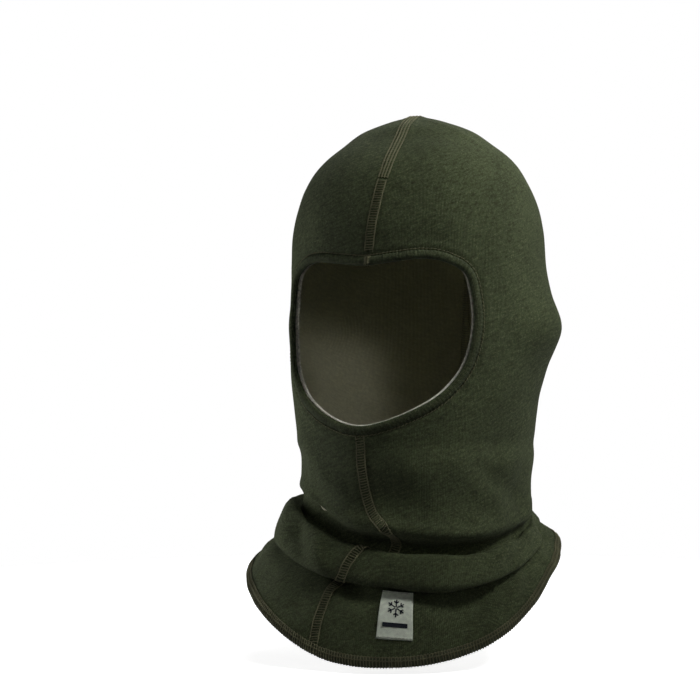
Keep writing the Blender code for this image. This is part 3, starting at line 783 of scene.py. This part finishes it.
class Seam:
    """A line along the cloth, with a way to step across it and off it."""

    def __init__(self, azimuths, places, base=0.0):
        points = (skin if base >= 0 else lining_skin)(azimuths, places, base)
        normals = sample(NORMALS, azimuths, places)
        steps = np.concatenate([[0], np.cumsum(np.linalg.norm(np.diff(points, axis=0), axis=1))])
        self.length = steps[-1]
        self.steps = np.linspace(0, self.length, int(self.length / SEAM_STEP))
        at = [np.stack([np.interp(self.steps, steps, v[:, i]) for i in range(3)], axis=1)
              for v in (points, normals)]
        self.points, self.normals = at
        along = np.gradient(self.points, axis=0)
        side = np.cross(along, self.normals)
        self.sides = side / np.linalg.norm(side, axis=1, keepdims=True)

    def point(self, along, across, up):
        """Points at distances along the seam, across it and off the cloth."""
        along, across, up = np.broadcast_arrays(*(np.asarray(v, float) for v in (along, across, up)))
        centre, normal, side = (np.stack([np.interp(along, self.steps, v[:, i]) for i in range(3)], axis=-1)
                                for v in (self.points, self.normals, self.sides))
        fall = across ** 2 / SEAM_SAG
        return centre + side * across[..., None] + normal * (up - fall)[..., None]


def seam_band(node, seam, half, low, high, material):
    """Thin flat strip under the threads of a seam."""
    steps = np.linspace(0.2, seam.length - 0.2, int(seam.length / BAND_STEP))
    across = np.array([-half, -half * 0.6, 0, half * 0.6, half, half * 0.6, 0, -half * 0.6])
    crown = (low + high) / 2 + (high - low) * np.array([0, 0.5, 0.35, 0.5, 0, -0.5, -0.5, -0.5])
    sections = [seam.point(s, across, crown) for s in steps]
    swept(node + "_bed", sections, [material])


def rungs(seam, half, up, pitch):
    """Threads across a ladder seam, each a little slanted and bowed, with both ends sunk in."""
    sunk = np.sign(up) * RUNG_SINK
    paths = []
    for s in np.arange(pitch, seam.length - pitch / 2, pitch):
        slant, bow = rng.normal(0, 0.12, 2)
        share = np.linspace(-1, 1, 7)
        along = s + (0.3 + slant) * share + (0.25 + bow) * (1 - share ** 2)
        paths.append(seam.point(along, half * share, sunk + (up - sunk) * (1 - share ** 4)))
    return paths


def chain(seam, at, up, pitch, swing, start=1.0):
    """Two strands that cross each other all along a line of chain stitch, drawn in towards its start."""
    steps = np.arange(SEAM_STEP, seam.length - SEAM_STEP, SEAM_STEP)
    turn = 2 * np.pi * steps / pitch
    line = at * np.interp(steps, [0, SEAM_TAPER], [start, 1])
    return [seam.point(steps, line + sign * swing * np.sin(turn / 2), up + CHAIN_WEAVE * sign * np.cos(turn))
            for sign in (-1, 1)]


def seam_piece(node, paths, thick, material):
    """Threads of a seam, which stand for its node."""
    obj = strands(node + "_threads", paths, thick, [material])
    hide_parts(node)
    return obj


def front_seam(top, bottom, base=0.0):
    """Centre line of the front seam between two places."""
    places = np.linspace(top, bottom, 1200)
    return Seam(seam_azimuth(places), places, base)


def crown_line(front_depth, base=0.0):
    """Over the crown, from the brow's side of it to the hem at the back."""
    front = np.linspace(place_of(front_depth), 0.5, 500)
    back = np.linspace(0.5, LAST_RING - 0.02, 2500)
    azimuths = np.concatenate([seam_azimuth(front), 180 + 0 * back])
    return Seam(azimuths, np.concatenate([front, back]), base)


LADDER_HALF = 3.1
LADDER_THREAD = 0.3
LADDER_PITCH = 1.8
CHAIN_PITCH = 2.4
COVER_LINES = (-3.6, -1.2, 1.2, 3.6)
COVER_HALF = 3.9
SEAM_CHANGE = 54.0
BROW_EDGE = 111.0 - 5.8                           # depth where the forehead seam meets the binding
CHIN_EDGE = 223.0 + 6.4                           # depth where the chin seam leaves it
LINING_BROW_EDGE = 104.0
LINING_CHIN_EDGE = 231.0
LINING_SEAM_HALF = 2.5


def ladder_seam(name, top, bottom, loose=()):
    """Flatlock seam down the front, with any loose loops at its end."""
    seam = front_seam(top, bottom)
    seam_band(name, seam, LADDER_HALF, 0.12, 0.5, GREEN)
    paths = rungs(seam, LADDER_HALF, 0.9, LADDER_PITCH)
    for side in (-1, 1):
        paths += chain(seam, side * LADDER_HALF, 0.5, LADDER_PITCH, 0.25)
    return seam_piece(name, paths + list(loose), LADDER_THREAD, OLIVE_THREAD)


def brow_loops():
    """Last threads of the forehead seam, carried over the binding and round its inner edge."""
    top = OPENING_HALF[0][1]
    middle_x = float(seam_azimuth(place_of(top))) * DEGREE
    loops = []
    for out in (5.3, 4.2, 3.1, 2.0, 0.9):
        share = np.linspace(-1, 1, 9)
        flat = np.stack([middle_x + 2.5 * share, top - out - 0.5 * share], axis=-1)
        loops.append(on_face(flat, 1.0 + 1.75 * (1 - share ** 4)))
    for across in (-0.9, 0.7):
        out = np.array([5.2, 4.0, 2.6, 1.2, 0.2, -0.6, -0.8])
        flat = np.stack([middle_x + across + 0.12 * out, top - out], axis=-1)
        loops.append(on_face(flat, np.array([2.3, 2.9, 3.0, 2.7, 2.1, 1.0, -0.4])))
    return loops


def cover_seam():
    """Four lines of chain stitch over the crown and down the back."""
    seam = crown_line(SEAM_CHANGE)
    seam_band("crown_nape_seam", seam, COVER_HALF, 0.12, 0.5, GREEN)
    paths = []
    for at in COVER_LINES:
        paths += chain(seam, at, 0.6, CHAIN_PITCH, 0.36, start=LADDER_HALF / COVER_LINES[-1])
    return seam_piece("crown_nape_seam", paths, 0.27, OLIVE_THREAD)


def lining_seams():
    """The lining's own ladder seams, on the wearer's side of it."""
    inside = -WHOLE_CLOTH
    crown = crown_line(LINING_BROW_EDGE, inside)
    chin = front_seam(float(place_of(LINING_CHIN_EDGE)), LAST_RING - 0.25, inside)
    for name, seam in (("lining_crown_seam", crown), ("lining_chin_seam", chin)):
        seam_band(name, seam, 2.6, -0.45, -0.15, CREAM)
        paths = rungs(seam, LINING_SEAM_HALF, -0.85, LADDER_PITCH)
        seam_piece(name, paths, 0.32, CREAM_THREAD)


# --- hem ---
def hem_point(azimuth, above, offset):
    """Point a distance above the hem along the cloth; below it the line runs straight on."""
    near = sample(LENGTHS, azimuth, LAST_RING) - sample(LENGTHS, azimuth, LAST_RING - 0.5)
    place = LAST_RING - np.maximum(above, 0) * 0.5 / near
    fall = sample(POINTS, azimuth, LAST_RING) - sample(POINTS, azimuth, LAST_RING - 0.1)
    fall /= np.linalg.norm(fall, axis=-1, keepdims=True)
    return skin(azimuth, place, offset) + fall * np.maximum(-above, 0)[..., None]


HEM_PROFILE = ((HEM_BAND, 0.15), (HEM_BAND, 0.4), (3.0, 0.55), (0.6, 0.5), (-0.5, -0.1), (-0.9, -1.5),
               (-0.5, -3.0), (0.6, -3.6), (3.0, -3.65), (HEM_BAND, -3.5), (HEM_BAND, -3.25), (0.25, -3.25),
               (0.25, 0.15))
HEM_PITCH = 2.1
HEM_RAILS = ((HEM_BAND - 0.2, 0.75), (HEM_BAND * 0.5, 0.95), (HEM_BAND - 0.2, -3.85))
RAIL_STEPS = 2600


def hem():
    """Overlock round both layers: a sheath of threads, loops over the edge and lines along it."""
    azimuth = AZIMUTHS[:-1]
    sections = [hem_point(azimuth, a + 0 * azimuth, o + 0 * azimuth) for a, o in HEM_PROFILE]
    swept("hem_overlock_bed", np.stack(sections, axis=1), [DARK_THREAD], closed=True)
    ring = hem_point(azimuth, 0 * azimuth, 0 * azimuth)
    around = np.concatenate([[0], np.cumsum(np.linalg.norm(np.diff(ring, axis=0), axis=1))])
    loops = int(around[-1] / HEM_PITCH)
    wrap = np.array(HEM_PROFILE[1:10])
    paths = []
    for k in range(loops):
        lean = np.linspace(-0.5, 0.5, len(wrap)) + rng.normal(0, 0.08)
        at = np.interp((k + 0.5 + lean) * HEM_PITCH, around, azimuth)
        lift = 0.32 * np.where(wrap[:, 1] > -1, 1, -1)
        lift[3:6] = 0
        drop = np.where(np.arange(len(wrap)) == 4, -0.3, 0)
        paths.append(hem_point(at, wrap[:, 0] + drop, wrap[:, 1] + lift))
    rails = []
    for above, up in HEM_RAILS:
        fine = np.linspace(-180, 180, RAIL_STEPS)
        turn = np.arange(len(fine)) * 2 * np.pi / 8
        rails.append(hem_point(fine, above + 0.28 * np.sin(turn), up + 0.12 * np.cos(turn)))
    return seam_piece("hem_overlock", paths + rails, 0.34, OLIVE_THREAD)


# --- label ---
LABEL_AZIMUTHS = (11.5, 23.5)
LABEL_PLACES = (GROOVE_RING + 0.55, GROOVE_RING + 2.12)
LABEL_GRID = 41
LABEL_TAPE = 0.55
STAR_MIDDLE = -3.6
STAR_ARM = 6.2
TWIG_AT = 3.7
TWIG = 2.0
BAR_HALF = 8
LABEL_STITCHES = 10


def label_point(across, down, up):
    """Point on the label from shares of its width and height."""
    azimuth = LABEL_AZIMUTHS[0] + (LABEL_AZIMUTHS[1] - LABEL_AZIMUTHS[0]) * across
    place = LABEL_PLACES[0] + (LABEL_PLACES[1] - LABEL_PLACES[0]) * down
    return skin(azimuth, place, up)


def label_lift(across, down):
    """How far the label's underside stands off the cloth: sewn down at top and bottom, loose between."""
    loose = np.sin(np.pi * np.clip(down * 1.16 - 0.08, 0, 1))
    return 0.35 + 0.7 * loose * (0.6 + 0.4 * np.sin(np.pi * across))


def label():
    """Woven label with a generic star and bar, sewn on along its top and bottom."""
    down, across = np.meshgrid(*(np.linspace(0, 1, LABEL_GRID),) * 2, indexing="ij")
    lift = label_lift(across, down)
    sheets = [label_point(across, down, lift + thick).reshape(-1, 3) for thick in (LABEL_TAPE, 0.0)]
    wide = np.linalg.norm(label_point(0.0, 0.5, 0.0) - label_point(1.0, 0.5, 0.0))
    tall = np.linalg.norm(label_point(0.5, 0.0, 0.0) - label_point(0.5, 1.0, 0.0))
    uv = np.stack([across * wide, down * tall], axis=-1).reshape(-1, 2) * MM
    faces = thick_faces(grid_faces(LABEL_GRID, LABEL_GRID), LABEL_GRID ** 2)
    obj = new_object("label_tape", np.concatenate(sheets), faces, np.tile(uv, (2, 1)), [LABEL_CLOTH])
    drop_loose(obj)
    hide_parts("woven_label")

    def drawn(x, y):
        """Thread lying on the label, from millimetres about its middle."""
        across, down = 0.5 + np.asarray(x) / wide, 0.5 + np.asarray(y) / tall
        return label_point(across, down, label_lift(across, down) + 0.75)

    lines = []
    for k in range(6):
        turn = math.radians(30 + 60 * k)
        arm = STAR_ARM * np.linspace(0.12, 1, 8)
        lines.append(drawn(arm * math.cos(turn), STAR_MIDDLE + arm * math.sin(turn)))
        for lean in (-1, 1):
            tip = TWIG * np.linspace(0, 1, 4)
            twig = turn + lean * math.radians(55)
            x = TWIG_AT * math.cos(turn) + tip * math.cos(twig)
            y = STAR_MIDDLE + TWIG_AT * math.sin(turn) + tip * math.sin(twig)
            lines.append(drawn(x, y))
    for row in np.linspace(6.6, 8.6, 5):
        x = np.linspace(-BAR_HALF, BAR_HALF, 17)
        lines.append(drawn(x, row + 0 * x))
    mark = strands("label_mark", lines, 0.42, [MARK_THREAD])
    for node, down_share in (("label_stitch_top", 0.035), ("label_stitch_bottom", 0.965)):
        paths = []
        for k in range(LABEL_STITCHES):
            across = (k + 0.5 + np.linspace(-0.36, 0.36, 5)) / LABEL_STITCHES
            lift = 1.0 + np.array([-0.3, 0.35, 0.45, 0.35, -0.3])
            paths.append(label_point(across, down_share + 0 * across, lift))
        seam_piece(node, paths, 0.3, LABEL_THREAD)


# --- assembly ---
OUTER_STEP = 2.3                                  # size of the cloth's quads
LINING_STEP = 3.0
for word, side in (("left", 1), ("right", -1)):
    outer = panel("outer_cloth_" + word, "outer_panel_" + word, side, 0.0, -OUTER_CLOTH, OUTER_STEP,
                  GREEN)
    inner = panel("lining_cloth_" + word, "lining_panel_" + word, side, -LINING_DEPTH, -WHOLE_CLOTH,
                  LINING_STEP, CREAM)
binding("face_binding", ("face_binding_left", "face_binding_right"), FACE_PROFILE, GREEN_TAPE, 1.0)
binding("lining_binding", ("lining_binding_left", "lining_binding_right"), LINING_PROFILE, CREAM_TAPE, 0.0,
        drawn_back=1.5)
ring_stitches("face_binding_stitch", BINDING_WIDTH + 0.7, 0.45, 0.34, OLIVE_THREAD)
ring_stitches("lining_binding_stitch", BINDING_WIDTH + 0.7, -WHOLE_CLOTH - 0.4, 0.3, CREAM_THREAD)
ladder_seam("forehead_seam", float(place_of(SEAM_CHANGE + 0.3)), float(place_of(BROW_EDGE)), brow_loops())
ladder_seam("chin_seam", float(place_of(CHIN_EDGE)), LAST_RING - 0.22)
cover_seam()
lining_seams()
hem()
label()

# --- floor, light and camera ---
FLOOR_RADIUS = 0.7
FLOOR_GAP = 0.003
FLOOR_GLOW = 0.8
floor_mesh = bpy.data.meshes.new("floor")
bm = bmesh.new()
bmesh.ops.create_circle(bm, cap_ends=True, segments=96, radius=FLOOR_RADIUS)
bm.to_mesh(floor_mesh)
bm.free()
floor = bpy.data.objects.new("floor", floor_mesh)
floor.location.z = cad_bounds[0][2] - FLOOR_GAP
bpy.context.scene.collection.objects.link(floor)
floor_shader = bpy.data.materials.new("floor")
floor_shader.use_nodes = True
floor_surface = floor_shader.node_tree.nodes["Principled BSDF"]
floor_surface.inputs["Base Color"].default_value = (0.9, 0.9, 0.9, 1)
floor_surface.inputs["Roughness"].default_value = 0.9
floor_mesh.materials.append(floor_shader)
floor_surface.inputs["Emission Color"].default_value = (1, 1, 1, 1)
floor_surface.inputs["Emission Strength"].default_value = FLOOR_GLOW
floor.visible_diffuse = False

middle = Vector([(cad_bounds[0][i] + cad_bounds[1][i]) / 2 for i in range(3)])


def softbox(name, azimuth, elevation, distance, size, power, height, spread=180):
    """Square light aimed at the garment's axis at a height."""
    data = bpy.data.lights.new(name, "AREA")
    data.size = size
    data.energy = power
    data.spread = math.radians(spread)
    lamp = bpy.data.objects.new(name, data)
    a, e = math.radians(azimuth), math.radians(elevation)
    away = Vector((math.sin(a) * math.cos(e), -math.cos(a) * math.cos(e), math.sin(e)))
    lamp.location = Vector((middle.x, middle.y, height)) + away * distance
    lamp.rotation_euler = (-away).to_track_quat("-Z", "Y").to_euler()
    bpy.context.scene.collection.objects.link(lamp)


softbox("right_key", 88, 42, 0.9, 0.4, 0.95, -0.03, 46)
softbox("right_rim", 138, 14, 1.3, 0.8, 4, -0.14)
softbox("left_rim", -84, 4, 1.3, 0.8, 9.5, -0.2)
softbox("left_low", -60, -10, 1.0, 0.4, 0.08, -0.27, 40)
softbox("front_key", 46, 15, 1.2, 0.45, 0.056, -0.155, 16)
softbox("crown_rim", 205, 50, 1.1, 0.6, 5, -0.05)

WORLD_LIGHT = 0.02
world = bpy.data.worlds.new("studio")
world.use_nodes = True
nodes, links = world.node_tree.nodes, world.node_tree.links
background = nodes["Background"]
background.inputs["Color"].default_value = (1, 1, 1, 1)
backdrop = nodes.new("ShaderNodeMapRange")
backdrop.inputs["To Min"].default_value = WORLD_LIGHT
backdrop.inputs["To Max"].default_value = 1.0
seen = nodes.new("ShaderNodeLightPath")
links.new(seen.outputs["Is Camera Ray"], backdrop.inputs["Value"])
links.new(backdrop.outputs[0], background.inputs["Strength"])
bpy.context.scene.world = world
bpy.context.scene.view_settings.view_transform = "Standard"

VIEW_AZIMUTH = 25.0
VIEW_DISTANCE = 1.2
VIEW_HEIGHT = -0.1987
camera_data = bpy.data.cameras.new("camera")
camera_data.lens = 85
camera_data.sensor_width = 36
camera_data.shift_x = -0.0957
camera_data.shift_y = 0.0643
camera = bpy.data.objects.new("camera", camera_data)
turn = math.radians(VIEW_AZIMUTH)
camera.location = (VIEW_DISTANCE * math.sin(turn), -VIEW_DISTANCE * math.cos(turn), VIEW_HEIGHT)
camera.rotation_euler = (math.pi / 2, 0, turn)
bpy.context.scene.collection.objects.link(camera)
bpy.context.scene.camera = camera
